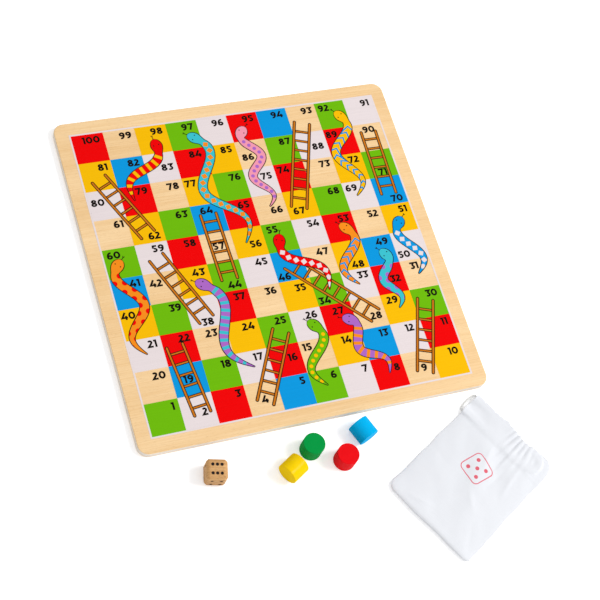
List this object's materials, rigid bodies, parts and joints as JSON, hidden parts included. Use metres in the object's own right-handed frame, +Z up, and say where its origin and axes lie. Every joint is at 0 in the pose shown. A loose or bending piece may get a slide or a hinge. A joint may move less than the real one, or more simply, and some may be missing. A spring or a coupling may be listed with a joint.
{
  "type": "snakes and ladders board",
  "caption": "Square plywood snakes and ladders board with a flush printed grid, with its wooden die, turned counters and drawstring cotton bag.",
  "frame": {"origin": "centre of the board's underside, on the table", "axes": "+Z up out of the printed face, +X from square 1 to square 10 along the front edge, +Y from square 1 to square 100"},
  "size_m": [0.3256, 0.4305, 0.0175],
  "materials": {
    "face_birch": "fine sanded pale veneer, clear satin lacquer",
    "cross_birch": "raw end grain at the sanded rim",
    "white_ink": "printed ink film, satin, the grain shows through",
    "red_ink": "printed ink film, satin, the grain shows through",
    "yellow_ink": "printed ink film, satin, the grain shows through",
    "green_ink": "printed ink film, satin, the grain shows through",
    "blue_ink": "printed ink film, satin, the grain shows through",
    "orange_ink": "printed ink film, satin, the grain shows through",
    "purple_ink": "printed ink film, satin, the grain shows through",
    "pink_ink": "printed ink film, satin, the grain shows through",
    "turquoise_ink": "printed ink film, satin, the grain shows through",
    "brown_ink": "printed ink film, satin, the grain shows through",
    "black_ink": "printed ink film, satin, the grain shows through",
    "die_wood": "beech, oiled satin",
    "pip_paint": "dark paint in drilled pips",
    "green_paint": "satin paint on turned wood",
    "red_paint": "satin paint on turned wood",
    "yellow_paint": "satin paint on turned wood",
    "blue_paint": "satin paint on turned wood",
    "cotton": "plain woven white cotton",
    "cotton_cord": "twisted white cotton cord"
  },
  "bodies": {
    "board": {"back_veneer": "face_birch", "lower_crossband": "cross_birch", "core_ply": "face_birch", "upper_crossband": "cross_birch", "face_veneer": "face_birch", "white_ink": "white_ink", "red_ink": "red_ink", "yellow_ink": "yellow_ink", "green_ink": "green_ink", "blue_ink": "blue_ink", "orange_ink": "orange_ink", "purple_ink": "purple_ink", "pink_ink": "pink_ink", "turquoise_ink": "turquoise_ink", "brown_ink": "brown_ink", "black_ink": "black_ink"},
    "die": {"die_cube": "die_wood", "die_pips": "pip_paint"},
    "green_counter": {"counter_green": "green_paint"},
    "red_counter": {"counter_red": "red_paint"},
    "yellow_counter": {"counter_yellow": "yellow_paint"},
    "blue_counter": {"counter_blue": "blue_paint"},
    "drawstring_bag": {"bag_back": "cotton", "bag_front": "cotton", "bag_hem": "cotton", "bag_drawstring": "cotton_cord"}
  },
  "joints": [
    {"name": "die_lift", "type": "slide", "parent": "board", "child": "die", "axis": [0, 0, 1], "range_m": [0, 0.06]},
    {"name": "green_counter_lift", "type": "slide", "parent": "board", "child": "green_counter", "axis": [0, 0, 1], "range_m": [0, 0.06]},
    {"name": "red_counter_lift", "type": "slide", "parent": "board", "child": "red_counter", "axis": [0, 0, 1], "range_m": [0, 0.06]},
    {"name": "yellow_counter_lift", "type": "slide", "parent": "board", "child": "yellow_counter", "axis": [0, 0, 1], "range_m": [0, 0.06]},
    {"name": "blue_counter_lift", "type": "slide", "parent": "board", "child": "blue_counter", "axis": [0, 0, 1], "range_m": [0, 0.06]},
    {"name": "drawstring_bag_lift", "type": "slide", "parent": "board", "child": "drawstring_bag", "axis": [0, 0, 1], "range_m": [0, 0.06]}
  ]
}
